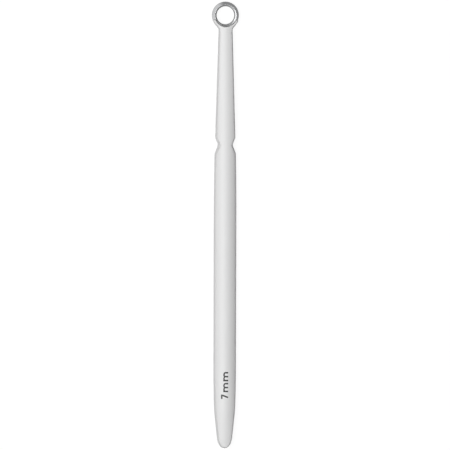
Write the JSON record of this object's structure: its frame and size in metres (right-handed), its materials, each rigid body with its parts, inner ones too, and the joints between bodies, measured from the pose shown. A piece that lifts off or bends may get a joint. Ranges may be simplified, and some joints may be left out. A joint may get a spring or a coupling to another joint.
{
  "type": "dermal curette",
  "caption": "Slim flattened plastic handle with a waist, a tapering neck and a two-armed yoke that holds a small sharpened steel ring for scooping skin tissue.",
  "frame": {"origin": "on the surface that the tool lies on, under the middle of its overall length and width", "axes": "+Y along the tool toward the ring, +Z out of the tool's front, +X to its right seen from the front with the ring at the top"},
  "size_m": [0.0088, 0.146, 0.0054],
  "materials": {
    "handle_plastic": "fine satin, as moulded",
    "blade_steel": "ground round the ring, honed at the edge",
    "tang_steel": "stamped strip",
    "print_ink": "printed film of ink, only in the visual model"
  },
  "bodies": {
    "root": {"handle": "handle_plastic", "ring_blade": "blade_steel", "blade_tang": "tang_steel"}
  },
  "joints": []
}
